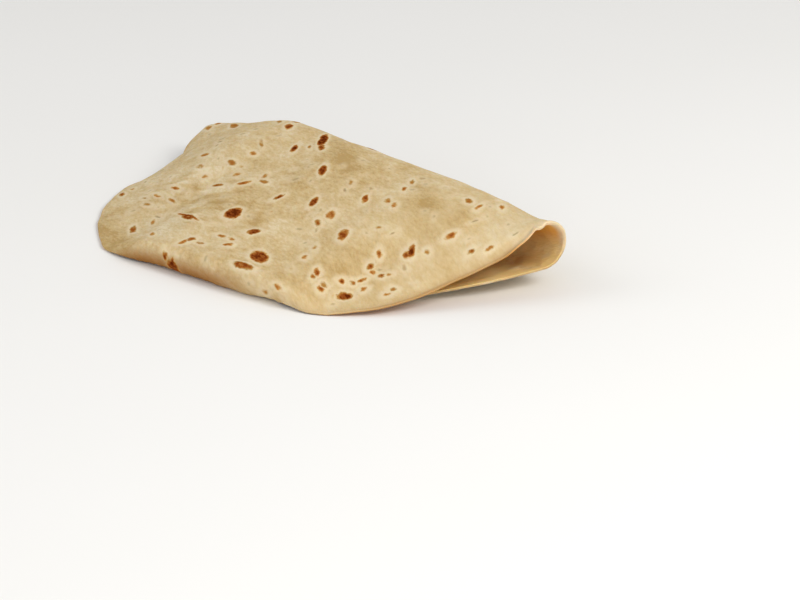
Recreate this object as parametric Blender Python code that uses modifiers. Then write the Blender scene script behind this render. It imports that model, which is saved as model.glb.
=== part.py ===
"""Chapati flatbread: one round, thin bread folded over once, as a single closed solid.

The fold runs along X. The bread's smaller half lies flat on the ground and reaches towards -Y. At the back the
bread turns over in a springy loop, lower at its -X end and open at its +X end. The larger half comes back over
the top, slopes down to the front, and tucks part of its front edge under in a soft roll.
Metres, +Z up. The origin is on the ground, under the middle of the folded bread.
"""

import math

import bpy

# Driving dimensions, in metres
HALF_WIDTH = 0.120  # from the bread's middle to its edge, along the fold
UPPER_DEPTH = 0.113  # from the bread's middle to its front edge, in the upper half
LOWER_DEPTH = 0.111  # from the bread's middle to its edge, in the lower half
THICKNESS = 0.0018
SQUARENESS = 2.2  # 2 would be an ellipse, and a hand-rolled bread is a little squarer

UPPER_SETBACK = 0.0106  # from the bread's middle to the crest of the loop, in the upper half
LOWER_SETBACK = 0.0294  # from the bread's middle to the foot of the loop, in the lower half

# The loop along the fold
LOOP_RADIUS = 0.0133  # in the middle of the fold
LOW_END_RADIUS = 0.0060  # at the -X end
LOW_END_SPAN = (-0.122, -0.056)  # x from which the low end opens out, and where it is fully open
OPEN_END_RADIUS = 0.0088  # at the +X end
OPEN_END_SPAN = (0.070, 0.125)
LIP_LIFT = 0.0080  # how far the lower half curls off the ground at the open end
LIP_START = 0.060  # x at which it starts to curl
LIP_POWER = 2.5
GROUND_GAP = 0.0001  # left under what only just touches the ground

# The slope of the upper half, from the crest down to its edge
SLOPE_FULLNESS = 0.4  # how much fuller than an even S
OPEN_END_BEARING = 44  # degrees round from the fold where the edge is down, at the +X end
LOW_END_BEARING = 162  # the same at the -X end

# The front edge's roll
ROLL_RADIUS = 0.0043
ROLL_DISTANCE = 0.0883  # from the loop's crest to where the roll begins
ROLL_SKEW = math.atan(0.167)  # the roll runs slightly towards the fold on the +X side

# Segments of the sheet
COLUMNS = 36
LOWER_ROWS = 7
LOOP_ROWS = 12
UPPER_ROWS = 13
FRONT_ROWS = 10
FRONT_SHARE = 0.18  # of the upper half's depth is taken by the front rows
CORNER_SHARE = 0.65  # of each half's depth is where the corners of the grid sit on the outline

CRUST_COLOUR = (0.62, 0.50, 0.30, 1.0)
CRUST_ROUGHNESS = 0.75
SHARP_ANGLE = math.radians(50)

REST_HEIGHT = THICKNESS / 2


def smooth(value, start, end):
    """0 before start, 1 after end, and an even S between them."""
    t = min(max((value - start) / (end - start), 0.0), 1.0)
    return t * t * (3.0 - 2.0 * t)


def outline(x):
    """The bread's half depth at x as a share of its full half depth: 1 in the middle and 0 at the edge."""
    return max(1.0 - abs(x / HALF_WIDTH) ** SQUARENESS, 0.0) ** (1.0 / SQUARENESS)


def half_chord(share):
    """The bread's half width at a share of its full half depth: the outline the other way round."""
    return HALF_WIDTH * (1.0 - share**SQUARENESS) ** (1.0 / SQUARENESS)


def flat_place(across, share, depth, setback):
    """A place on one half of the flat bread: x, and the distance from the half's start at the loop.

    across runs from -1 to 1 along the fold, and share from 0 at the loop to 1 at the bread's outline.
    """
    side = setback + share * (CORNER_SHARE * depth - setback)
    middle = setback + share * (depth - setback)
    bulge = (outline(across * half_chord(CORNER_SHARE)) - CORNER_SHARE) / (1 - CORNER_SHARE)
    x = across * half_chord(side / depth)
    return x, side + (middle - side) * bulge - setback


def upper_reach(x):
    """How far the upper half reaches from the loop's crest, before its edge is rolled under."""
    return max(UPPER_DEPTH * outline(x) - UPPER_SETBACK, THICKNESS)


def loop_radius(x):
    """The loop's radius: small at the low end, large in the middle and smaller again at the open end."""
    opened = LOW_END_RADIUS + (LOOP_RADIUS - LOW_END_RADIUS) * smooth(x, *LOW_END_SPAN)
    return opened - (LOOP_RADIUS - OPEN_END_RADIUS) * smooth(x, *OPEN_END_SPAN)


def lower_height(x):
    """The lower half lies on the ground, and curls up only towards the open end."""
    past = max((x - LIP_START) / (HALF_WIDTH - LIP_START), 0.0)
    return REST_HEIGHT + LIP_LIFT * past**LIP_POWER


def crest_height(x):
    return lower_height(x) + 2 * loop_radius(x)


def roll_distance(x):
    """How far the roll's line lies from the loop's crest."""
    return ROLL_DISTANCE - math.tan(ROLL_SKEW) * x


def edge_height(x):
    """The upper half's height where its roll begins or, where it has none, at its edge."""
    rolled = max(upper_reach(x) - roll_distance(x), 0.0) * math.cos(ROLL_SKEW)
    turn = min(rolled / ROLL_RADIUS, math.pi)
    low = REST_HEIGHT + GROUND_GAP + ROLL_RADIUS * (1 - math.cos(turn))
    bearing = math.degrees(math.atan2(upper_reach(x), x))
    open_end = 1 - max(1 - bearing / OPEN_END_BEARING, 0.0) ** 2
    low_end = smooth(bearing, 180, LOW_END_BEARING)
    return crest_height(x) + (low - crest_height(x)) * open_end * low_end


def upper_height(x, depth):
    """The upper half's height at a distance from the loop's crest, up to its roll or its edge."""
    edge = edge_height(x)
    share = min(depth / min(upper_reach(x), roll_distance(x)), 1.0)
    even = 2 * share**3 - 3 * share**2 + 1
    fuller = SLOPE_FULLNESS * (share**2 - share**3)
    return edge + (crest_height(x) - edge) * (even + fuller)


def lower_point(across, share):
    """A point of the lower half, from its edge at share 0 to the foot of the loop at share 1."""
    x, depth = flat_place(across, 1 - share, LOWER_DEPTH, LOWER_SETBACK)
    return x, -depth, lower_height(x)


def loop_point(across, share):
    """A point of the loop, from its foot at share 0 to its crest at share 1."""
    from_middle = share * (LOWER_SETBACK + UPPER_SETBACK) - LOWER_SETBACK
    x = across * half_chord(abs(from_middle) / LOWER_DEPTH)
    radius = loop_radius(x)
    turn = math.pi * share
    return x, radius * math.sin(turn), lower_height(x) + radius * (1 - math.cos(turn))


def rolled_point(x, depth):
    """A point of the upper half at a distance from the crest, bent down and under past the roll's line."""
    past = (depth - roll_distance(x)) * math.cos(ROLL_SKEW)
    if past <= 0:
        return x, -depth, upper_height(x, depth)
    turn = min(past / ROLL_RADIUS, math.pi)
    tucked = max(past - math.pi * ROLL_RADIUS, 0.0)
    out = ROLL_RADIUS * math.sin(turn) - tucked - past
    return (
        x + math.sin(ROLL_SKEW) * out,
        -depth - math.cos(ROLL_SKEW) * out,
        edge_height(x) - ROLL_RADIUS * (1 - math.cos(turn)),
    )


def upper_point(across, share):
    """A point of the upper half, from the loop's crest at share 0 to the front rows at share 1."""
    return rolled_point(*flat_place(across, share * (1 - FRONT_SHARE), UPPER_DEPTH, UPPER_SETBACK))


def front_point(across, share):
    """A point of the front rows, from the upper rows at share 0 to the front edge at share 1."""
    return rolled_point(*flat_place(across, 1 - (1 - share) * FRONT_SHARE, UPPER_DEPTH, UPPER_SETBACK))


BANDS = (
    (LOWER_ROWS, lower_point),
    (LOOP_ROWS, loop_point),
    (UPPER_ROWS, upper_point),
    (FRONT_ROWS, front_point),
)


def sheet_point(across, along):
    """A point of the bread's middle surface. across runs from -1 to 1 along the fold, and along counts rows."""
    for rows, point in BANDS:
        if along <= rows:
            return point(across, along / rows)
        along -= rows
    return front_point(across, 1.0)


def bread_sheet():
    """The open middle surface: a flat grid, folded point by point and centred over the origin."""
    rows = sum(band_rows for band_rows, _ in BANDS)
    bpy.ops.mesh.primitive_grid_add(x_subdivisions=COLUMNS, y_subdivisions=rows, size=2)
    bread = bpy.context.active_object
    for vertex in bread.data.vertices:
        along = round((vertex.co.y + 1) / 2 * rows)
        vertex.co = sheet_point(vertex.co.x, along)
    places = [vertex.co.copy() for vertex in bread.data.vertices]
    middle_x = (min(p.x for p in places) + max(p.x for p in places)) / 2
    middle_y = (min(p.y for p in places) + max(p.y for p in places)) / 2
    for vertex in bread.data.vertices:
        vertex.co.x -= middle_x
        vertex.co.y -= middle_y
    return bread


def crust_material():
    material = bpy.data.materials.new("bread_crust")
    material.use_nodes = True
    shader = material.node_tree.nodes["Principled BSDF"]
    shader.inputs["Base Color"].default_value = CRUST_COLOUR
    shader.inputs["Roughness"].default_value = CRUST_ROUGHNESS
    return material


def make_chapati(collection):
    bread = bread_sheet()
    bread.name = "chapati"
    bread.data.name = "chapati"
    for other in list(bread.users_collection):
        other.objects.unlink(bread)
    collection.objects.link(bread)
    shell = bread.modifiers.new("thickness", "SOLIDIFY")
    shell.thickness = THICKNESS
    shell.offset = 0
    shell.use_even_offset = True
    bread.data.materials.append(crust_material())
    bread.data.shade_smooth()
    bread.data.set_sharp_from_angle(angle=SHARP_ANGLE)


def main():
    for old in list(bpy.data.objects):
        bpy.data.objects.remove(old, do_unlink=True)
    collection = bpy.data.collections.new("chapati_flatbread")
    bpy.context.scene.collection.children.link(collection)
    make_chapati(collection)


main()
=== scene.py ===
"""Chapati flatbread, as it looks: one soft, floury bread with brown griddle spots, folded over once.

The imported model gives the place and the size. The skin made here follows the same fold at a fine grain, with
an uneven thickness, a pinched edge, waves, blisters and wrinkles, and it replaces the plain CAD solid.

A flat place is (x, reach): where a point of the bread would be if it were opened out flat. x runs along the
fold and reach from the bread's middle towards the front of the upper half, so it is negative in the lower
half. Arrays of flat places carry a third number, which tells the two sides of the bread apart. Metres, +Z up.
"""

import math
import random

import bpy
import numpy as np
from mathutils import Matrix, Vector, noise


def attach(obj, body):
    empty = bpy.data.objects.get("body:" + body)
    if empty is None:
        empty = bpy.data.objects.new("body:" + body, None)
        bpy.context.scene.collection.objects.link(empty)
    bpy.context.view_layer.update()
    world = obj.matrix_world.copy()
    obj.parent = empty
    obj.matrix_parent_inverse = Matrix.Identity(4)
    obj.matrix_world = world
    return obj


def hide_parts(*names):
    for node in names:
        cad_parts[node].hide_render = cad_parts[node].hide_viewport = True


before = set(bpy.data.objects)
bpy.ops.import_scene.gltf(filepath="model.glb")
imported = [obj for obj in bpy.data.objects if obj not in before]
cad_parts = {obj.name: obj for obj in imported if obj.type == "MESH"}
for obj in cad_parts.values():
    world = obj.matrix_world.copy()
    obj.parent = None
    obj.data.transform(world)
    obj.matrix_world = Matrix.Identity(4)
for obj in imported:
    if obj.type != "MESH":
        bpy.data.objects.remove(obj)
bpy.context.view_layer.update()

MM = 0.001

# The fold, as the CAD part has it
HALF_WIDTH = 0.120
UPPER_DEPTH = 0.113
LOWER_DEPTH = 0.111
THICKNESS = 0.0018
SQUARENESS = 2.2  # 2 is an ellipse, and more is squarer
UPPER_SETBACK = 0.0106  # from the bread's middle to the crest of the loop
LOWER_SETBACK = 0.0294  # from the bread's middle to the foot of the loop
LOOP_RADIUS = 0.0133
LOW_END_RADIUS = 0.0060
LOW_END_SPAN = (-0.122, -0.056)
OPEN_END_RADIUS = 0.0088
OPEN_END_SPAN = (0.070, 0.125)
LIP_LIFT = 0.0080
LIP_START = 0.060
LIP_POWER = 2.5
GROUND_GAP = 0.0001
SLOPE_FULLNESS = 0.4
OPEN_END_BEARING = 44
LOW_END_BEARING = 162
ROLL_RADIUS = 0.0043
ROLL_DISTANCE = 0.0883
ROLL_SKEW = math.atan(0.167)
REST_HEIGHT = THICKNESS / 2

# The skin's segments
COLUMNS = 250
LOWER_ROWS = 34
LOOP_ROWS = 44
UPPER_ROWS = 78
FRONT_ROWS = 24
FRONT_SHARE = 0.18
CORNER_SHARE = 0.65
RIM_TURNS = (45, 0, -45)
INNER_SIDE = 0.4  # the third number of a flat place on the side that faces in, and 0 on the other side

# The edge
PINCH_WIDTH = 0.005  # how far in from the outline the sheet gets thinner
PINCH = 0.5  # how much thinner it is at the outline
CREST_PINCH = 0.2  # the same, at the crest's open end
# Waves of the outline: (times round the bread, height in mm, phase)
RAGGED = (
    (5, 0.35, 0.7),
    (9, 0.30, 2.1),
    (17, 0.22, 0.0),
    (29, 0.16, 1.3),
    (47, 0.10, 4.0),
)

# The relief: (size of the features, height in mm)
WIDE_WAVES = (0.045, 0.9)
NARROW_WAVES = (0.017, 0.34)
STREAKS = (0.0038, 0.55)
ROLL_RIBS = (0.0024, 0.26)
CREASES = (0.0055, 0.5)
CRUMB = (0.0035, 0.05)
WRINKLE_TURN = math.radians(-12)

# The crust's mottling: sizes of its features
CLOUD = 0.030
PATCH = 0.010
SPECK = 0.0026

# Scorch marks of the upper half:
# (x, reach, length, width in mm, turn from the fold towards the front in degrees, scorch from 0 to 1)
MARKS = (
    # the middle
    (-2.5, 71, 10.2, 7.2, 20, 1.0),
    (19, 75, 5.8, 4.6, -28, 0.9),
    (38.5, 85, 11.8, 6.8, 16, 0.85),
    (40.5, 93.3, 11.5, 3.2, -7, 0.7),
    (9.5, 84, 5.5, 1.9, -3, 0.55),
    (16, 83.5, 4.7, 1.7, 0, 0.5),
    (7, 92, 4.7, 1.9, -10, 0.45),
    (19, 87, 4.4, 2.9, -40, 0.6),
    (5, 54.5, 4.2, 3.0, -83, 1.0),
    (23, 49.5, 7.2, 3.5, 48, 1.0),
    (38.5, 51.5, 6.2, 4.0, 28, 0.56),
    (38, 57.5, 4.8, 2.4, 26, 0.6),
    (55.5, 57.5, 7.5, 4.3, 42, 0.7),
    (54, 74.5, 3.4, 2.2, 8, 0.6),
    (52, 68.5, 3.3, 1.8, 25, 0.45),
    (41.5, 37.5, 6.3, 2.5, 44, 0.75),
    (24.5, 33, 5.0, 2.0, 28, 0.3),
    (52, 34.5, 4.6, 2.3, 30, 0.5),
    (57.5, 35, 4.2, 2.2, 28, 0.52),
    (65, 47, 3.4, 1.7, -20, 0.35),
    # the low end
    (-22.4, 80.2, 22, 1.7, 7, 0.75),
    (-20.8, 81, 10, 3.0, 7, 0.85),
    (0.4, 92.9, 4.2, 3.8, -75, 0.62),
    (-0.3, 95.9, 4.6, 3.2, -80, 0.5),
    (-45, 93, 8.6, 3.3, 27, 0.6),
    (-41, 86, 7.0, 2.3, 27, 0.42),
    (-22, 97, 6.5, 2.1, 27, 0.46),
    (-60, 77.5, 6.0, 2.0, 3, 0.42),
    (-61.5, 71.5, 7.0, 1.4, 8, 0.5),
    (-68, 74, 4.0, 1.4, 5, 0.45),
    (-49, 72, 7.2, 1.6, 9, 0.45),
    (-56.5, 65.5, 7.0, 1.9, 2, 0.55),
    (-91, 72, 6.2, 2.3, 22, 0.62),
    (-91, 67, 3.5, 1.4, 10, 0.4),
    (-67, 44.5, 6.4, 3.2, 12, 0.45),
    (-58.5, 52, 6.2, 2.6, 12, 0.28),
    (-48.5, 56, 4.0, 2.5, 12, 0.5),
    (-45, 45, 6.7, 2.8, 6, 0.48),
    (-38, 45, 3.5, 1.8, 10, 0.25),
    (-33.5, 50, 4.8, 3.2, 0, 0.4),
    (-35, 58, 7.0, 2.6, -6, 0.7),
    (-21.5, 54, 6.4, 2.8, -30, 0.56),
    (-13.5, 49.5, 5.0, 2.6, -5, 0.5),
    (-17.5, 46.5, 4.4, 2.2, 40, 0.4),
    (-42, 36.5, 4.6, 2.4, 9, 0.52),
    (-46, 30, 9.0, 2.0, 30, 0.3),
    # the crest of the fold
    (-112, 16, 9.0, 2.8, 22, 0.45),
    (-112, 11.5, 5.0, 2.6, 25, 0.55),
    (-94, 14, 10, 3.4, 22, 0.5),
    (-51.2, 13.2, 7.4, 3.4, 34, 0.78),
    (-62, 11, 6.0, 2.4, 35, 0.45),
    (-56, 7, 6.0, 3.0, 20, 0.45),
    (-28, 25.5, 7.4, 3.0, 45, 0.95),
    (-23, 21, 4.6, 1.6, 33, 0.48),
    (-25, 13.5, 15.5, 3.9, 41, 1.0),
    (-17, 19.3, 6.0, 2.6, 38, 0.95),
    (4, 32.5, 8.6, 3.2, 44, 0.9),
    (49.5, 24.5, 4.2, 2.0, 33, 0.65),
    (46.5, 19, 4.6, 1.7, 34, 0.5),
    # the open end
    (85.4, 47.0, 6.2, 3.0, 38, 1.0),
    (85.0, 48.8, 4.2, 2.6, 30, 0.7),
    (91, 43.5, 2.0, 1.5, 5, 0.6),
    (93, 34, 4.6, 3.1, -60, 0.65),
    (105.5, 34, 2.6, 1.8, -75, 0.9),
    (110.5, 29, 2.6, 1.5, -70, 0.75),
    (107.5, 33, 2.0, 1.2, -40, 0.2),
    (80.5, 16.5, 4.8, 2.8, 20, 0.65),
    (88, 17, 3.8, 2.2, 66, 0.6),
    (94, 11, 4.2, 2.0, 34, 0.6),
    # the front corner
    (81.5, 75.5, 6.2, 4.0, -39, 1.0),
    (75.5, 72.5, 2.6, 2.0, -20, 0.9),
    (78.5, 69.5, 2.1, 1.5, -20, 0.75),
    (80, 66.5, 3.0, 1.6, -58, 0.8),
    (84, 68.5, 2.6, 1.9, -15, 0.7),
    (77.5, 60.5, 3.2, 2.4, 20, 0.8),
    (80.5, 61.5, 2.6, 1.9, 0, 0.6),
    (84.5, 60.5, 3.0, 1.9, -35, 0.8),
    (86.5, 58.5, 1.9, 1.3, -30, 0.5),
    (75.5, 55, 4.1, 2.0, 40, 0.7),
    (94, 61.5, 2.3, 1.7, -20, 0.7),
    (94, 64.5, 2.7, 1.6, -45, 0.65),
    (66, 77, 4.1, 2.3, 35, 0.7),
    (67, 79.5, 3.1, 2.0, 30, 0.6),
    (73.5, 80.5, 3.1, 2.2, 10, 0.85),
    (72.5, 78.5, 2.8, 1.9, -15, 0.65),
    # the front roll
    (-0.6, 104.8, 4.0, 1.8, 30, 0.9),
    (4.2, 104.7, 2.4, 2.0, 0, 0.85),
    (4.6, 106.1, 6.6, 3.4, 0, 1.0),
    (4.8, 107.2, 7.5, 2.8, 0, 1.0),
    (62.5, 92.5, 4.9, 1.9, -13, 0.6),
    (57, 96.5, 3.2, 2.0, -5, 0.42),
)
# Small grey-green pits of the upper half: (x, reach, length, width in mm, turn in degrees)
PITS = (
    (-65, 27, 3.0, 1.6, 0),
    (-72, 34, 3.0, 1.3, 0),
    (-90, 61, 3.0, 1.2, 15),
    (-44, 82, 4.0, 1.3, 0),
    (27.5, 37.5, 3.0, 1.3, 28),
    (72, 46, 2.2, 0.9, -75),
    (81.5, 59, 1.8, 1.0, -30),
    (94.5, 24, 2.6, 1.1, -70),
    (114, 19.5, 2.6, 1.0, -75),
)
# Wide soft patches of the upper half:
# (x, reach, length, width in mm, turn in degrees, tone, which is negative where dull and positive where pale)
PATCHES = (
    (4, 22, 40, 14, 30, -1.4),
    (68, 27, 24, 14, 28, -1.2),
    (86, 23, 12, 5, 28, -0.6),
    (70, 70, 12, 7, -10, -0.5),
    (-12, 62, 30, 10, -12, -0.15),
    (12, 66, 20, 10, 0, 0.3),
    (76, 59, 22, 14, -10, -0.7),
    (108, 22, 30, 14, -60, 0.5),
    (91, 28, 24, 13, -10, -0.8),
    (64, 82, 70, 34, -22, -0.5),
    (84, 72, 26, 9, -45, 0.1),
    (-30, 88, 34, 9, 0, 0.4),
    (30, 76, 26, 8, 0, 0.1),
    (54, 98, 14, 8, -12, 0.6),
    (-42, 102, 40, 9, 10, -0.8),
    (-58, 55, 20, 18, 0, 0.9),
    (2, 48, 40, 24, 45, -0.7),
    (-2, 93, 50, 12, -12, 0.5),
    (74, 78, 14, 8, -10, -0.4),
    (80, 88, 30, 12, -35, 0.5),
    (-82, 78, 32, 16, -35, 0.7),
    (-20, 96, 40, 8, 5, 0.3),
    (-75, 58, 30, 14, 0, 0.4),
    (-60, 40, 20, 14, 0, 0.25),
    (-30, 30, 24, 8, 30, 0.3),
)
# Where the crust is wrinkled along the fold: (x, reach, size in mm)
WRINKLED = (
    (-26, 68, 17),
    (14, 68, 9),
    (-56, 62, 10),
)
# Shallow dents in the outline: (depth in mm, bearing and span in degrees)
NOTCHES = (
    (6.6, 162.8, 3.3),
    (3.2, 24.0, 8.0),
)
# Soft swells of the upper half: (x, reach, size, height in mm)
SWELLS = (
    (-108, 10, 15, 2.0),
)
# How many marks are scattered at random
FAINT_MARKS = 90  # small ones between the listed marks
INNER_MARKS = 60  # on the side that faces in
HIDDEN_MARKS = 110  # on the underside
SEED = 11


def smooth(value, start, end):
    """0 before start, 1 after end, and an even S between them."""
    t = np.clip((value - start) / (end - start), 0.0, 1.0)
    return t * t * (3.0 - 2.0 * t)


# --- The fold, from a flat place to a place in the row's frame ---


def outline(x):
    """The flat bread's depth at x, as a share of its depth in the middle."""
    return np.maximum(1.0 - np.abs(x / HALF_WIDTH) ** SQUARENESS, 0.0) ** (1.0 / SQUARENESS)


def half_chord(share):
    """Half the flat bread's width at a share of its depth."""
    return HALF_WIDTH * np.maximum(1.0 - share**SQUARENESS, 0.0) ** (1.0 / SQUARENESS)


def upper_reach(x):
    """How far the upper half reaches from the crest of the loop."""
    return np.maximum(UPPER_DEPTH * outline(x) - UPPER_SETBACK, THICKNESS)


def loop_radius(x):
    """The loop's radius, which is less at both ends, where the loop is pressed lower."""
    opened = LOW_END_RADIUS + (LOOP_RADIUS - LOW_END_RADIUS) * smooth(x, *LOW_END_SPAN)
    return opened - (LOOP_RADIUS - OPEN_END_RADIUS) * smooth(x, *OPEN_END_SPAN)


def lower_height(x):
    """The lower half lies flat and lifts off the ground at the open end."""
    past = np.maximum((x - LIP_START) / (HALF_WIDTH - LIP_START), 0.0)
    return REST_HEIGHT + LIP_LIFT * past**LIP_POWER


def crest_height(x):
    """The height of the loop's top."""
    return lower_height(x) + 2 * loop_radius(x)


def roll_distance(x):
    """From the loop's crest to where the front roll begins."""
    return ROLL_DISTANCE - math.tan(ROLL_SKEW) * x


def edge_height(x):
    """The height that the upper half's slope comes down to, before any roll."""
    rolled = np.maximum(upper_reach(x) - roll_distance(x), 0.0) * math.cos(ROLL_SKEW)
    turn = np.minimum(rolled / ROLL_RADIUS, math.pi)
    low = REST_HEIGHT + GROUND_GAP + ROLL_RADIUS * (1 - np.cos(turn))
    bearing = np.degrees(np.arctan2(upper_reach(x), x))
    open_end = 1 - np.maximum(1 - bearing / OPEN_END_BEARING, 0.0) ** 2
    low_end = smooth(bearing, 180, LOW_END_BEARING)
    return crest_height(x) + (low - crest_height(x)) * open_end * low_end


def upper_height(x, depth):
    """The slope of the upper half, from the crest down to its edge or its roll."""
    edge = edge_height(x)
    share = np.clip(depth / np.minimum(upper_reach(x), roll_distance(x)), 0.0, 1.0)
    even = 2 * share**3 - 3 * share**2 + 1
    fuller = SLOPE_FULLNESS * (share**2 - share**3)
    return edge + (crest_height(x) - edge) * (even + fuller)


def folded(x, reach):
    """Where the flat place (x, reach) of the bread's middle surface lies once the bread is folded."""
    lower_depth = -reach - LOWER_SETBACK
    lower = np.stack([x, -lower_depth, lower_height(x)], axis=-1)

    turn = math.pi * np.clip((reach + LOWER_SETBACK) / (LOWER_SETBACK + UPPER_SETBACK), 0.0, 1.0)
    radius = loop_radius(x)
    loop = np.stack([x, radius * np.sin(turn), lower_height(x) + radius * (1 - np.cos(turn))], axis=-1)

    depth = reach - UPPER_SETBACK
    past = np.maximum((depth - roll_distance(x)) * math.cos(ROLL_SKEW), 0.0)
    bend = np.minimum(past / ROLL_RADIUS, math.pi)
    tucked = np.maximum(past - math.pi * ROLL_RADIUS, 0.0)
    out = ROLL_RADIUS * np.sin(bend) - tucked - past
    upper = np.stack(
        [
            x + math.sin(ROLL_SKEW) * out,
            -depth - math.cos(ROLL_SKEW) * out,
            upper_height(x, depth) - ROLL_RADIUS * (1 - np.cos(bend)),
        ],
        axis=-1,
    )
    place = np.where((reach > UPPER_SETBACK)[..., None], upper, loop)
    return np.where((reach < -LOWER_SETBACK)[..., None], lower, place)


def unit(vectors):
    """The vectors with a length of 1."""
    return vectors / np.maximum(np.linalg.norm(vectors, axis=-1, keepdims=True), 1e-12)


def facing_out(x, reach):
    """The direction out of the fold at a flat place: up on the upper half and down on the lower half."""
    step = 0.3 * MM
    along = folded(x + step, reach) - folded(x - step, reach)
    forward = folded(x, reach + step) - folded(x, reach - step)
    return unit(np.cross(forward, along))


# --- The flat bread's grid ---


def half_places(across, share, depth, setback):
    """Flat places of one half of the grid, as x and the distance from the bread's middle."""
    side = setback + share * (CORNER_SHARE * depth - setback)
    middle = setback + share * (depth - setback)
    bulge = (outline(across * half_chord(CORNER_SHARE)) - CORNER_SHARE) / (1 - CORNER_SHARE)
    return across * half_chord(side / depth), side + (middle - side) * bulge


def grid_places():
    """The flat places of the skin's grid: rows from the lower half's edge to the front edge."""
    across = np.linspace(-1, 1, COLUMNS + 1)[None, :]
    lower_share = 1 - np.linspace(0, 1, LOWER_ROWS + 1)[:-1, None]
    loop_share = np.linspace(0, 1, LOOP_ROWS + 1)[:-1, None]
    upper_share = np.linspace(0, 1 - FRONT_SHARE, UPPER_ROWS + 1)[:-1, None]
    front_share = np.linspace(1 - FRONT_SHARE, 1, FRONT_ROWS + 1)[:, None]
    lower_x, lower_reach = half_places(across, lower_share, LOWER_DEPTH, LOWER_SETBACK)
    loop_reach = loop_share * (LOWER_SETBACK + UPPER_SETBACK) - LOWER_SETBACK + 0 * across
    loop_x = across * half_chord(np.abs(loop_reach) / LOWER_DEPTH)
    share = np.concatenate([upper_share, front_share])
    upper_x, upper_reaches = half_places(across, share, UPPER_DEPTH, UPPER_SETBACK)
    x = np.concatenate([lower_x, loop_x, upper_x])
    reach = np.concatenate([-lower_reach, loop_reach, upper_reaches])
    return x, reach


def faces_in(side):
    """Which flat places are on the side that faces into the fold."""
    return side > INNER_SIDE / 2


def outline_share(x, reach):
    """0 at the bread's middle and 1 at its even outline."""
    depth = np.where(reach > 0, UPPER_DEPTH, LOWER_DEPTH)
    return (np.abs(x / HALF_WIDTH) ** SQUARENESS + np.abs(reach / depth) ** SQUARENESS) ** (1 / SQUARENESS)


def dented_share(x, reach):
    """How much of the even outline is left at a bearing, for the shallow dents."""
    bearing = np.degrees(np.arctan2(reach, x))
    cut = sum(depth * np.exp(-(((bearing - middle) / span) ** 2)) for depth, middle, span in NOTCHES)
    return 1 - cut * MM / HALF_WIDTH


def edge_distance(x, reach):
    """Roughly how far a flat place is from the bread's outline."""
    depth = np.where(reach > 0, UPPER_DEPTH, LOWER_DEPTH)
    return (1 - outline_share(x, reach) / dented_share(x, reach)) * (HALF_WIDTH + depth) / 2


def crest_end(x, reach):
    """1 at the crest's open end and 0 away from it."""
    return smooth(x, 0.085, 0.108) * (1 - smooth(np.abs(reach - 0.003), 0.010, 0.024))


def notched(x, reach):
    """The flat places pulled in a little where the outline has its dents."""
    near_edge = smooth(outline_share(x, reach), 0.74, 1.0)
    shrink = 1 - (1 - dented_share(x, reach)) * near_edge
    return x * shrink, reach * shrink


def ragged(x, reach):
    """The flat places with the outline made a little uneven, as rolling by hand leaves it."""
    bearing = np.arctan2(reach, x)
    swell = sum(height * np.sin(times * bearing + phase) for times, height, phase in RAGGED)
    near_edge = 1 - smooth(edge_distance(x, reach), 0.0, 0.02)
    grow = 1 + swell * MM / HALF_WIDTH * near_edge
    return x * grow, reach * grow


# --- Relief ---


def noise_field(x, reach, size, seed, octaves=3):
    """Smooth noise from about -1 to 1 over the flat bread, with features about size across."""
    values = np.empty(x.size)
    for index, (a, b) in enumerate(zip((x / size).ravel(), (reach / size).ravel())):
        values[index] = noise.fractal((a, b, seed), 1.0, 2.0, octaves)
    return values.reshape(x.shape)


class Mark:
    """One spot of the griddle: an oval on the flat bread, with how dark it is and how far it stands up."""

    def __init__(self, x, reach, length, width, turn, scorch, pit=0.0):
        self.x = x * MM
        self.reach = reach * MM
        self.length = length * MM / 2
        self.width = width * MM / 2
        self.turn = math.radians(turn)
        self.scorch = scorch
        self.pit = pit
        self.wobble = min(1.0, 2.5 * width / length)

    def local(self, x, reach):
        """The oval's own coordinates of flat places: its outline is where their length is 1."""
        dx, dy = x - self.x, reach - self.reach
        along = (dx * math.cos(self.turn) + dy * math.sin(self.turn)) / self.length
        aside = (dy * math.cos(self.turn) - dx * math.sin(self.turn)) / self.width
        return along, aside

    def radius(self):
        """The radius of a round mark of the same area."""
        return math.sqrt(self.length * self.width)


def random_place(rng, low, high):
    """A place inside the flat bread's outline, between two reaches in metres."""
    while True:
        x, reach = rng.uniform(-HALF_WIDTH, HALF_WIDTH), rng.uniform(low, high)
        if float(edge_distance(x, reach)) > 3 * MM:
            return x / MM, reach / MM


def random_mark(rng, low, high, largest):
    """A mark up to largest mm long, between two reaches. The longer ones tend to be darker."""
    x, reach = random_place(rng, low, high)
    length = largest * rng.uniform(0.25, 1.0) ** 2
    scorch = min(rng.uniform(0.3, 0.6) + 0.4 * length / largest * rng.random(), 1.0)
    return Mark(x, reach, length, length * rng.uniform(0.35, 0.8), rng.uniform(-90, 90), scorch)


def faint_mark(rng):
    """One of the upper half's small pale marks, which is often a little sunken."""
    x, reach = random_place(rng, 0.010, UPPER_DEPTH)
    faint = rng.random()
    length = 1.4 + 2.2 * rng.random() ** 2
    width = length * rng.uniform(0.4, 0.7)
    turn = rng.uniform(-50, 50)
    pit = 0.7 if rng.random() < 0.6 else 0.0
    return Mark(x, reach, length, width, turn, 0.08 + 0.16 * faint, pit)


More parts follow.
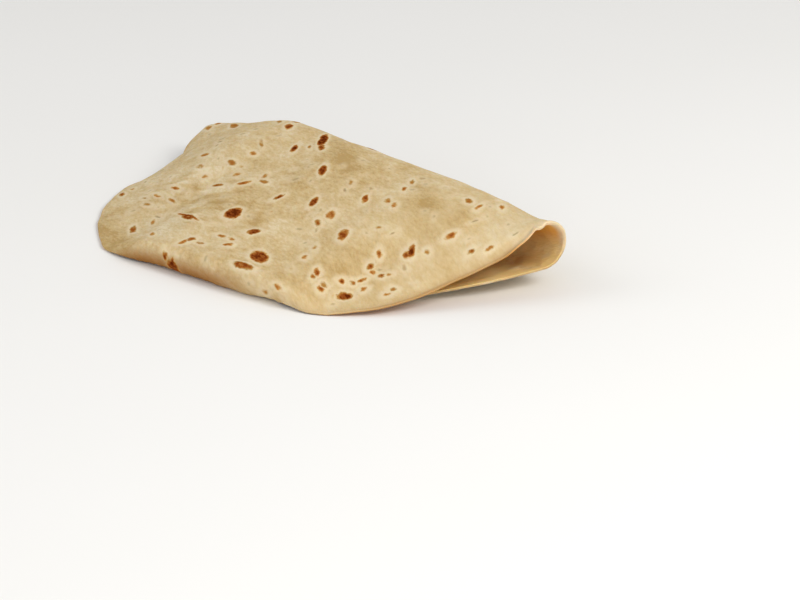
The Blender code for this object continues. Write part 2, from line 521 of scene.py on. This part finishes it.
def outer_marks(rng):
    """The marks of the side that faces out: those listed, faint ones between them, the underside's."""
    placed = [Mark(*row) for row in MARKS] + [Mark(*row, scorch=0.25, pit=1.0) for row in PITS]
    marks = list(placed)
    while len(marks) < len(placed) + FAINT_MARKS:
        mark = faint_mark(rng)
        if all(math.hypot(mark.x - other.x, mark.reach - other.reach) > 4 * MM for other in placed):
            marks.append(mark)
    marks += [random_mark(rng, -LOWER_DEPTH, 0.005, 9.0) for _ in range(HIDDEN_MARKS)]
    return marks


def inner_marks(rng):
    """The marks of the side that faces in, which are fewer, smaller and fainter."""
    marks = [random_mark(rng, -LOWER_DEPTH, UPPER_DEPTH, 6.0) for _ in range(INNER_MARKS)]
    for mark in marks:
        mark.scorch *= 0.45
    return marks


def blisters(x, reach, marks):
    """How far the marks stand out of the crust: low domes that are a little sunken where they are burnt."""
    height = np.zeros_like(x)
    for mark in marks:
        along, aside = mark.local(x, reach)
        size = np.sqrt(along**2 + aside**2)
        dome = np.exp(-((size / 1.5) ** 2)) - 0.45 * np.exp(-((size / 0.7) ** 2))
        height += dome * min(0.13 * mark.radius(), 0.30 * MM) * (1 - 1.6 * mark.pit)
    return height


def waves(x, reach):
    """The soft, wide unevenness of the whole sheet."""
    wide_size, wide_height = WIDE_WAVES
    narrow_size, narrow_height = NARROW_WAVES
    free = smooth(reach, -0.028, 0.02)
    wide = wide_height * noise_field(x, reach, wide_size, 3.1, 2) * free
    narrow = narrow_height * noise_field(x, reach, narrow_size, 8.4, 2) * (0.3 + 0.7 * free)
    swell = np.zeros_like(x)
    for centre_x, centre_reach, size, height in SWELLS:
        away = np.hypot(x / MM - centre_x, reach / MM - centre_reach) / size
        swell += height * np.exp(-(away**3))
    return (wide + narrow + swell) * MM


def streaks(x, reach):
    """Short, shallow creases that run along the fold, from about -1 to 1."""
    along = x * math.cos(WRINKLE_TURN) + reach * math.sin(WRINKLE_TURN)
    across = reach * math.cos(WRINKLE_TURN) - x * math.sin(WRINKLE_TURN)
    streak = noise_field(along * 0.25, across, STREAKS[0], 5.5, 2)
    patch = 0.35 * smooth(noise_field(x, reach, 0.035, 1.9, 1), 0.0, 0.5)
    for centre_x, centre_reach, size in WRINKLED:
        away_x = (x / MM - centre_x) / (1.5 * size)
        away_reach = (reach / MM - centre_reach) / size
        patch = np.maximum(patch, np.exp(-(away_x**2 + away_reach**2)))
    return streak * patch


def wrinkles(x, reach):
    """The relief of the creases, and of the finer ones across the front roll."""
    rib_size, rib_height = ROLL_RIBS
    rolled = smooth(reach - UPPER_SETBACK - roll_distance(x), -0.012, 0.002)
    ribs = noise_field(x, reach * 0.25, rib_size, 7.7, 2)
    return (STREAKS[1] * streaks(x, reach) * (1 - rolled) + rib_height * ribs * rolled) * MM


def creases(x, reach):
    """Soft folds that cross the sheet inside the hollow."""
    size, height = CREASES
    in_hollow = smooth(reach, -0.045, -0.030) * (1 - smooth(reach, -0.005, 0.006)) * smooth(x, 0.05, 0.09)
    off_edge = smooth(edge_distance(x, reach), 0.001, 0.009)
    folds = noise_field(x * 0.8 + reach, reach * 0.5 - x * 0.3, size, 12.6, 2)
    return folds * in_hollow * off_edge * height * MM


def crumb(x, reach, seed):
    """The fine grain of the crust."""
    size, height = CRUMB
    return noise_field(x, reach, size, seed, 3) * height * MM


# --- The skin ---


def ring_of(rows, columns):
    """The grid indices round the border, once round."""
    ring = [(0, i) for i in range(columns)]
    ring += [(j, columns) for j in range(rows)]
    ring += [(rows, i) for i in range(columns, 0, -1)]
    ring += [(j, 0) for j in range(rows, 0, -1)]
    return ring


def quads_of(rows, columns, first, flip):
    """The grid's faces as rows of four vertex numbers."""
    j, i = np.meshgrid(np.arange(rows), np.arange(columns), indexing="ij")
    corner = first + j * (columns + 1) + i
    quads = np.stack([corner, corner + 1, corner + columns + 2, corner + columns + 1], axis=-1).reshape(-1, 4)
    return quads[:, ::-1] if flip else quads


def rim_quads(rings):
    """Faces between one closed ring of vertex numbers and the next."""
    quads = []
    for near, far in zip(rings, rings[1:]):
        count = len(near)
        quads += [(near[k], near[(k + 1) % count], far[(k + 1) % count], far[k]) for k in range(count)]
    return np.array(quads)


def middle_sheet(x, reach):
    """The folded, waved middle surface, centred over the origin, and the direction out of it."""
    sheet = folded(x, reach)
    centre = (sheet.reshape(-1, 3).min(axis=0) + sheet.reshape(-1, 3).max(axis=0)) / 2
    sheet[..., :2] -= centre[:2]
    out = facing_out(x, reach)
    return sheet + out * waves(x, reach)[..., None], out


def half_thickness(x, reach):
    """Half the sheet's thickness: uneven, and less towards the outline."""
    near_edge = 1 - smooth(edge_distance(x, reach), 0.0, PINCH_WIDTH)
    pinch = 1 - near_edge * (PINCH - (PINCH - CREST_PINCH) * crest_end(x, reach))
    return THICKNESS / 2 * pinch * (1 + 0.12 * noise_field(x, reach, 0.02, 6.2, 2))


def both_sides(x, reach, outer, inner):
    """The skin's outer and inner side, each with its own relief."""
    sheet, out = middle_sheet(x, reach)
    half = half_thickness(x, reach)
    fine = wrinkles(x, reach)
    outer_lift = half + fine + crumb(x, reach, 2.2) + blisters(x, reach, outer)
    inner_lift = half - 0.6 * fine + crumb(x, reach, 4.4) + blisters(x, reach, inner) + creases(x, reach)
    return sheet + out * outer_lift[..., None], sheet - out * inner_lift[..., None]


def rim_places(top, bottom, outward):
    """Rings of points round the outline, which join the two sides in a round edge."""
    places = []
    for turn in RIM_TURNS:
        lift = math.sin(math.radians(turn))
        bulge = math.cos(math.radians(turn)) * np.linalg.norm(top - bottom, axis=1)[:, None] / 2
        places.append((top + bottom) / 2 + (top - bottom) / 2 * lift + outward * bulge)
    return places


def flat_rows(x, reach, side):
    """Flat places as rows of x, reach and the number of their side."""
    return np.stack([x, reach, 0 * x + side], axis=-1).reshape(-1, 3)


def bread_mesh(outer, inner):
    """The bread's closed skin, with its flat places and its faces as vertex numbers."""
    x, reach = notched(*ragged(*grid_places()))
    rows, columns = x.shape[0] - 1, x.shape[1] - 1
    outer_side, inner_side = both_sides(x, reach, outer, inner)

    ring_j, ring_i = np.array(ring_of(rows, columns)).T
    edge_x, edge_reach = x[ring_j, ring_i], reach[ring_j, ring_i]
    outward = unit(folded(edge_x * 1.003, edge_reach * 1.003) - folded(edge_x * 0.997, edge_reach * 0.997))
    rim = rim_places(outer_side[ring_j, ring_i], inner_side[ring_j, ring_i], outward)
    places = np.concatenate([outer_side.reshape(-1, 3), inner_side.reshape(-1, 3), *rim])
    places[:, 2] = np.maximum(places[:, 2], 0.0)

    flats = [flat_rows(x, reach, 0.0), flat_rows(x, reach, INNER_SIDE)]
    flats += [flat_rows(edge_x, edge_reach, INNER_SIDE if turn < 0 else 0.0) for turn in RIM_TURNS]

    border = ring_j * (columns + 1) + ring_i
    rings = [2 * x.size + number * len(border) + np.arange(len(border)) for number in range(len(RIM_TURNS))]
    quads = np.concatenate([
        quads_of(rows, columns, 0, True),
        quads_of(rows, columns, x.size, False),
        rim_quads([border, *rings, x.size + border]),
    ])
    mesh = bpy.data.meshes.new("chapati_skin")
    mesh.from_pydata(places.tolist(), [], quads.tolist())
    mesh.shade_smooth()
    return mesh, np.concatenate(flats), quads


def put_attribute(mesh, name, domain, values):
    """Rows of three numbers, written on the mesh for its material."""
    layer = mesh.attributes.new(name, "FLOAT_VECTOR", domain)
    layer.data.foreach_set("vector", np.asarray(values, np.float32).ravel())


def uneven(flats):
    """The flat places shifted a little to and fro, so that the marks' ovals come out uneven."""
    x, reach = flats[:, 0], flats[:, 1]
    shifted = flats.copy()
    for axis, coarse_seed, fine_seed in ((0, 11.3, 5.9), (1, 15.8, 9.1)):
        coarse = noise_field(x, reach, 0.0042, coarse_seed, 1)
        fine = noise_field(x, reach, 0.0021, fine_seed, 1)
        shifted[:, axis] += (0.7 * coarse + 0.3 * fine) * MM
    return shifted


def mark_rows(mesh, flats, quads, outer, inner):
    """Each face's nearest mark, written at the face's corners so that its oval stays sharp inside the face.

    "mark" is a corner's place in the oval's own coordinates and the mark's scorch, and "mark_facts" is the
    mark's radius in mm, a number from 0 to 1 that differs from mark to mark, and how much of a pit it is.
    """
    shift = uneven(flats) - flats
    middles = flats[quads].mean(axis=1)
    middle_shift = shift[quads].mean(axis=1)
    is_inner = faces_in(middles[:, 2])
    local = np.zeros((len(quads), 4, 3))
    facts = np.zeros((len(quads), 4, 3))
    for side, marks in ((False, outer), (True, inner)):
        faces = np.nonzero(is_inner == side)[0]
        best = np.full(len(faces), 1e9)
        chosen = np.zeros(len(faces), int)
        for number, mark in enumerate(marks):
            moved = middles[faces] + mark.wobble * middle_shift[faces]
            along, aside = mark.local(moved[:, 0], moved[:, 1])
            gap = (np.sqrt(along**2 + aside**2) - 1) * mark.radius()
            nearer = gap < best
            best[nearer] = gap[nearer]
            chosen[nearer] = number
        for number, mark in enumerate(marks):
            own = faces[chosen == number]
            corners = flats[quads[own]] + mark.wobble * shift[quads[own]]
            along, aside = mark.local(corners[..., 0], corners[..., 1])
            local[own] = np.stack([along, aside, 0 * along + mark.scorch], axis=-1)
            facts[own] = (mark.radius() / MM, (number * 0.618) % 1.0, mark.pit)
    put_attribute(mesh, "mark", "CORNER", local)
    put_attribute(mesh, "mark_facts", "CORNER", facts)


def bake_map(mesh, flats, quads):
    """A map for baking: the outer side on the left and the inner side on the right, each laid out flat."""
    corners = flats[quads]
    inner = faces_in(corners[..., 2].mean(axis=1, keepdims=True))
    room = 2.06  # a little over the two half widths or depths that each side has to fit in
    u = 0.25 + corners[..., 0] * 0.48 / (room * HALF_WIDTH) + np.where(inner, 0.5, 0.0)
    v = 0.5 + corners[..., 1] * 0.98 / (room * UPPER_DEPTH)
    layer = mesh.uv_layers.new(name="OFBake")
    layer.data.foreach_set("uv", np.stack([u, v], axis=-1).astype(np.float32).ravel())


# --- Materials ---


def colour(red, green, blue):
    """An sRGB colour, 0 to 255 a channel, as the linear colour that a shader wants."""
    linear = []
    for channel in (red / 255, green / 255, blue / 255):
        linear.append(channel / 12.92 if channel <= 0.04045 else ((channel + 0.055) / 1.055) ** 2.4)
    return (*linear, 1.0)


class Nodes:
    """Short calls that build one material's nodes."""

    def __init__(self, name):
        self.material = bpy.data.materials.new(name)
        self.material.use_nodes = True
        self.tree = self.material.node_tree
        self.shader = self.tree.nodes["Principled BSDF"]

    def node(self, kind, **settings):
        node = self.tree.nodes.new(kind)
        for key, value in settings.items():
            setattr(node, key, value)
        return node

    def put(self, socket, value):
        """Link the value to the socket if it is an output, and set it if it is a number or a colour."""
        if isinstance(value, bpy.types.NodeSocket):
            self.tree.links.new(value, socket)
        else:
            socket.default_value = value

    def attribute(self, name):
        return self.node("ShaderNodeAttribute", attribute_name=name).outputs["Vector"]

    def parts(self, vector):
        node = self.node("ShaderNodeSeparateXYZ")
        self.put(node.inputs[0], vector)
        return node.outputs

    def math(self, operation, *values):
        node = self.node("ShaderNodeMath", operation=operation)
        for socket, value in zip(node.inputs, values):
            self.put(socket, value)
        return node.outputs[0]

    def vector(self, operation, first, second=(0.0, 0.0, 0.0), scale=None):
        node = self.node("ShaderNodeVectorMath", operation=operation)
        self.put(node.inputs[0], first)
        self.put(node.inputs[1], second)
        if scale is not None:
            self.put(node.inputs["Scale"], scale)
        return node.outputs["Value"] if operation in ("LENGTH", "DOT_PRODUCT") else node.outputs[0]

    def noise(self, place, size, detail=2.0, roughness=0.5, as_colour=False):
        """Noise with features about size across, from about 0.25 to 0.75."""
        node = self.node("ShaderNodeTexNoise", noise_dimensions="3D")
        self.put(node.inputs["Vector"], place)
        self.put(node.inputs["Scale"], 1 / size)
        self.put(node.inputs["Detail"], detail)
        self.put(node.inputs["Roughness"], roughness)
        return node.outputs["Color"] if as_colour else node.outputs["Fac"]

    def step(self, value, low, high, start=0.0, end=1.0, kind="SMOOTHSTEP"):
        """start below low, end above high, and an even S or a straight line between them."""
        node = self.node("ShaderNodeMapRange", interpolation_type=kind)
        self.put(node.inputs["Value"], value)
        self.put(node.inputs["From Min"], low)
        self.put(node.inputs["From Max"], high)
        self.put(node.inputs["To Min"], start)
        self.put(node.inputs["To Max"], end)
        return node.outputs["Result"]

    def blend(self, share, first, second, how="MIX"):
        """A mix of two colours. A Mix node has its colours at inputs 6 and 7 and at output 2."""
        node = self.node("ShaderNodeMix", data_type="RGBA", blend_type=how)
        self.put(node.inputs[0], share)
        self.put(node.inputs[6], first)
        self.put(node.inputs[7], second)
        return node.outputs[2]

    def ramp(self, value, stops):
        """A colour ramp, from (place, colour) stops."""
        node = self.node("ShaderNodeValToRGB")
        while len(node.color_ramp.elements) < len(stops):
            node.color_ramp.elements.new(1.0)
        for element, (place, shade) in zip(node.color_ramp.elements, stops):
            element.position = place
            element.color = shade
        self.put(node.inputs[0], value)
        return node.outputs["Color"]

    def bump(self, height, distance, strength=1.0):
        node = self.node("ShaderNodeBump")
        self.put(node.inputs["Height"], height)
        node.inputs["Distance"].default_value = distance
        node.inputs["Strength"].default_value = strength
        return node.outputs["Normal"]


# The crust, from dull to pale
DULL = colour(176, 147, 97)
TAN = colour(192, 166, 120)
CREAM = colour(200, 176, 133)
FLOUR = colour(207, 187, 148)
PALE = colour(218, 201, 168)
# The rim: pale at the crest's open end, and browned elsewhere, with painted shade at the very edge
RIM = colour(214, 194, 160)
# browned rim colour, which also serves as painted shade where the edge turns down and away from the light
EDGE_BROWN_AND_SHADE = colour(166, 128, 80)
# Painted light and shade inside the fold and under the front roll
# painted light: a pale gold on the hollow's floor, brightest near the opening, for the light that reaches in
PAINTED_FLOOR_LIGHT = colour(254, 230, 156)
# painted shade: golden brown deep in the fold for the hollow's warm shade and bounced light, over a little
# browning
INSIDE_BROWN_AND_SHADE = colour(214, 144, 48)
# painted shade under the front roll, over some toasting
TOAST_AND_SHADE = colour(150, 102, 52)
# The marks, from their faint edge to their burnt middle
BURNT = (
    (0.0, colour(210, 180, 126)),
    (0.15, colour(194, 156, 98)),
    (0.32, colour(177, 128, 69)),
    (0.5, colour(158, 97, 43)),
    (0.75, colour(127, 62, 22)),
    (1.0, colour(90, 36, 8)),
)
PIT = colour(146, 132, 98)
OLIVE = colour(150, 116, 60)


def grain_place(n, place):
    """Flat places sheared the way the dough was rolled out, so that the crust's mottling runs with it."""
    along = n.vector("DOT_PRODUCT", place, (1.0, -1.54, 0.0))
    across = n.vector("DOT_PRODUCT", place, (-0.36, -1.69, 0.0))
    side = n.parts(place)[2]
    joined = n.node("ShaderNodeCombineXYZ")
    for socket, value in zip(joined.inputs, (along, across, side)):
        n.put(socket, value)
    return joined.outputs[0]


def crust_colour(n, place, tone, calm):
    """The floury crust: clouds, patches and specks around a tone from dull -1 to pale 1."""
    aside = n.vector("ADD", place, (0.31, 0.17, 0.0))
    cloud = n.math("SUBTRACT", n.noise(place, CLOUD, 4.0, 0.6), 0.5)
    patch = n.math("SUBTRACT", n.noise(aside, PATCH, 4.0, 0.65), 0.5)
    speck = n.math("SUBTRACT", n.noise(place, SPECK, 3.0, 0.7), 0.5)
    clouded = n.math("MULTIPLY_ADD", cloud, 2.0, tone)
    patched = n.math("MULTIPLY_ADD", patch, n.math("MULTIPLY", calm, 3.0), clouded)
    specked = n.math("MULTIPLY_ADD", speck, n.math("MULTIPLY", calm, 3.2), patched)
    share = n.step(specked, -1.3, 1.3, kind="LINEAR")
    return n.ramp(share, ((0.0, DULL), (0.3, TAN), (0.5, CREAM), (0.72, FLOUR), (1.0, PALE)))


def marked_colour(n, place, grain, base, tuck_shade):
    """The griddle's marks over the crust: a pale halo, an orange edge and a brown middle, all soft.

    gap is how far a place is outside the oval of its mark, in mm, and depth is how burnt it is, from 0 to 1.
    """
    mark = n.attribute("mark")
    scorch = n.parts(mark)[2]
    radius, chance, pit = n.parts(n.attribute("mark_facts"))
    size = n.vector("LENGTH", n.vector("MULTIPLY", mark, (1.0, 1.0, 0.0)))
    gap = n.math("MULTIPLY", n.math("SUBTRACT", size, 1.0), radius)
    ragged_edge = n.math("SUBTRACT", n.noise(place, 0.0016, 3.0, 0.6), 0.5)
    gap = n.math("MULTIPLY_ADD", ragged_edge, 1.8, gap)

    halo = n.math("MULTIPLY", n.step(gap, 0.3, 3.4, 1.0, 0.0), n.step(scorch, 0.15, 0.7, 0.35, 0.7))
    halo = n.math("MULTIPLY", halo, n.step(tuck_shade, 0.0, 0.4, 1.0, 0.1))
    base = n.blend(halo, base, PALE)
    blotch = n.step(n.noise(grain, 0.0034, 2.0, 0.6), 0.35, 0.65, 0.66, 1.12)
    depth = n.math("MULTIPLY", n.step(gap, -1.5, 0.8, 1.0, 0.0), n.math("MULTIPLY", scorch, blotch))
    burnt = n.ramp(depth, BURNT)
    olive = n.math("MULTIPLY", n.step(chance, 0.3, 0.8, 0.0, 0.5), n.step(depth, 0.6, 0.3))
    burnt = n.blend(olive, burnt, OLIVE)
    base = n.blend(n.step(depth, 0.0, 0.3), base, burnt)
    return n.blend(n.math("MULTIPLY", n.step(gap, -0.6, 0.4, 0.6, 0.0), pit), base, PIT)


def bread_material():
    """The bread's one material, which reads from the mesh where the crust is pale, browned or marked, and
    where its painted light and shade go.
    """
    n = Nodes("bread_crust")
    place = n.attribute("flat_place")
    inside, tuck_shade, rim = n.parts(n.attribute("shade_and_rim_facts"))
    tone, edge, painted_floor_light = n.parts(n.attribute("tone_and_painted_light"))
    grain = grain_place(n, place)
    calm = n.step(n.parts(place)[0], 0.03, 0.09, 1.0, 0.6)
    base = crust_colour(n, grain, tone, calm)
    # painted light on the floor of the hollow
    base = n.blend(painted_floor_light, base, PAINTED_FLOOR_LIGHT)
    # painted shade inside the fold, over a little browning
    base = n.blend(inside, base, INSIDE_BROWN_AND_SHADE)
    # painted shade under the front roll
    base = n.blend(tuck_shade, base, TOAST_AND_SHADE)
    # browned rim, with painted shade at the very edge
    base = n.blend(edge, base, EDGE_BROWN_AND_SHADE)
    base = n.blend(rim, base, RIM)
    base = marked_colour(n, place, grain, base, tuck_shade)

    fine = n.noise(grain, 0.0026, 4.0, 0.6)
    n.put(n.shader.inputs["Base Color"], base)
    n.put(n.shader.inputs["Roughness"], n.step(fine, 0.3, 0.7, 0.80, 0.64))
    n.shader.inputs["Specular IOR Level"].default_value = 0.0
    n.shader.inputs["Subsurface Weight"].default_value = 0.3
    n.shader.inputs["Subsurface Radius"].default_value = (1.0, 0.55, 0.22)
    n.shader.inputs["Subsurface Scale"].default_value = 0.0012
    relief = n.math("MULTIPLY_ADD", n.noise(grain, 0.0048, 4.0, 0.6), 1.0, n.math("MULTIPLY", fine, 0.6))
    n.put(n.shader.inputs["Normal"], n.bump(relief, 0.0007, 0.6))
    return n.material


def deep_inside(x, reach):
    """0 near the outline and 1 away from it."""
    return smooth(edge_distance(x, reach), 0.006, 0.022)


def shade_and_rim_facts(flats):
    """How much painted shade falls inside the fold, over a little browning, and under the roll, over some
    toasting, and how pale the crest's open rim is.
    """
    x, reach, side = flats.T
    # painted shade inside the fold, stronger deeper in and under the upper half, over a faint browning of the
    # whole inner side
    brown_and_shade = 0.04 + 0.3 * deep_inside(x, reach) + 0.8 * smooth(reach, -0.016, -0.001)
    inside = np.minimum(faces_in(side) * brown_and_shade, 0.85)
    past = (reach - UPPER_SETBACK - roll_distance(x)) * math.cos(ROLL_SKEW)
    turned_under = smooth(past, 0.7 * ROLL_RADIUS, 2.1 * ROLL_RADIUS) * (reach > UPPER_SETBACK)
    # painted shade on the roll's turned-under side, strongest towards the low end
    tuck_shade = turned_under * (0.95 - 0.9 * smooth(x, 0.02, 0.06))
    pale_rim = 0.8 * (1 - smooth(edge_distance(x, reach), 0.0, 0.0035)) * crest_end(x, reach)
    return np.stack([inside, tuck_shade, pale_rim], axis=-1)


def tone_and_painted_light(flats):
    """How dull or pale the crust is, with painted shade in the creases and at the left end of the roll, how
    browned its rim is, with painted shade at the very edge, and the painted light on the floor of the hollow
    inside the lower half.
    """
    x, reach, side = flats.T
    off = edge_distance(x, reach)
    # browning along the outline, with painted shade in the narrow darkest band at the very edge
    rim = 0.45 * (1 - smooth(off, 0.0, 0.0042)) + 0.55 * (1 - smooth(off, 0.0, 0.0011))
    open_end = smooth(x, -0.02, 0.05) * (1 - crest_end(x, reach))
    along_rim = (0.6 + 0.4 * smooth(reach, -0.005, 0.02)) * (1 - 0.7 * smooth(reach, 0.065, 0.085))
    baked_and_shaded = rim * np.where(faces_in(side), 0.3, 0.8) * open_end * along_rim

    # painted shade: duller along the outline at the left end of the front roll
    left_roll_shade = (1 - smooth(off, 0.0, 0.016)) * smooth(-x, 0.01, 0.05) * smooth(reach, 0.065, 0.09)
    # painted light and shade of the creases: paler on their raised ridges and duller in their troughs
    tone = 2.0 * streaks(x, reach) - 0.7 * left_roll_shade
    for *oval, strength in PATCHES:
        along, aside = Mark(*oval, scorch=0.0).local(x, reach)
        tone += strength * np.exp(-(along**2 + aside**2))

    # painted light on the hollow's floor, on the lower half's inner side, brighter near the outline where the
    # opening is
    lower = 1 - smooth(reach, -0.022, -0.002)
    painted_floor_light = 0.9 * faces_in(side) * lower * (1 - 0.45 * deep_inside(x, reach))
    return np.stack([tone, baked_and_shaded, painted_floor_light], axis=-1)


def make_bread():
    """The bread itself: its skin, its material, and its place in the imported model."""
    rng = random.Random(SEED)
    outer = outer_marks(rng)
    inner = inner_marks(rng)
    mesh, flats, quads = bread_mesh(outer, inner)
    put_attribute(mesh, "flat_place", "POINT", flats)
    put_attribute(mesh, "shade_and_rim_facts", "POINT", shade_and_rim_facts(flats))
    put_attribute(mesh, "tone_and_painted_light", "POINT", tone_and_painted_light(flats))
    mark_rows(mesh, flats, quads, outer, inner)
    bake_map(mesh, flats, quads)
    bread = bpy.data.objects.new("chapati_bread", mesh)
    bpy.context.scene.collection.objects.link(bread)
    mesh.materials.append(bread_material())
    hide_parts("chapati")
    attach(bread, "root")


# --- The stage ---


def make_floor():
    """A plain pale floor."""
    n = Nodes("pale_floor")
    place = n.node("ShaderNodeTexCoord").outputs["Object"]
    tone = n.noise(place, 0.3, 2.0)
    n.put(n.shader.inputs["Base Color"], n.blend(tone, colour(236, 235, 232), colour(240, 239, 237)))
    n.shader.inputs["Roughness"].default_value = 0.9
    n.shader.inputs["Specular IOR Level"].default_value = 0.1
    bpy.ops.mesh.primitive_plane_add(size=12)
    floor = bpy.context.active_object
    floor.name = "floor"
    floor.data.materials.append(n.material)


def towards(azimuth, elevation):
    """The direction from the bread to something at a bearing, in degrees: azimuth 0 is the front."""
    azimuth, elevation = math.radians(azimuth), math.radians(elevation)
    return Vector((
        math.sin(azimuth) * math.cos(elevation),
        -math.cos(azimuth) * math.cos(elevation),
        math.sin(elevation),
    ))


def looking_back(away):
    """The turn of a light or camera that looks from the direction away back to the bread."""
    return away.to_track_quat("Z", "Y").to_matrix().to_4x4()


def make_light(name, azimuth, elevation, distance, size, power, tint):
    """A square area light that looks at the bread. Distance and size are in metres, and power in watts."""
    data = bpy.data.lights.new(name, "AREA")
    data.size = size
    data.energy = power
    data.color = tint
    light = bpy.data.objects.new(name, data)
    away = towards(azimuth, elevation)
    light.matrix_world = Matrix.Translation(away * distance) @ looking_back(away)
    bpy.context.scene.collection.objects.link(light)


def make_lights():
    """Plain soft studio light: a white room, and three lamps round the bread."""
    world = bpy.data.worlds.new("studio")
    world.use_nodes = True
    world.node_tree.nodes["Background"].inputs["Color"].default_value = (1.0, 1.0, 1.0, 1.0)
    world.node_tree.nodes["Background"].inputs["Strength"].default_value = 0.6
    bpy.context.scene.world = world
    make_light("key", 104, 35, 1.4, 0.5, 10.5, (1.0, 0.99, 0.97))
    make_light("low", 62, 7, 1.4, 0.4, 6, (1.0, 0.99, 0.96))
    make_light("fill", -40, 35, 1.8, 1.2, 7, (1.0, 1.0, 1.0))


def make_camera():
    """A camera that looks from the right and a little above, with a slight roll."""
    data = bpy.data.cameras.new("camera")
    data.lens = 135
    data.sensor_width = 36
    data.clip_end = 50
    camera = bpy.data.objects.new("camera", data)
    away = towards(56.8, 19.8)
    target = Vector((0.0324, 0.0336, -0.0241))
    turn = looking_back(away) @ Matrix.Rotation(math.radians(-3.8), 4, "Z")
    camera.matrix_world = Matrix.Translation(target + away * 1.1858) @ turn
    bpy.context.scene.collection.objects.link(camera)
    bpy.context.scene.camera = camera


make_camera()
make_bread()
make_floor()
make_lights()
bpy.context.scene.view_settings.view_transform = "Standard"
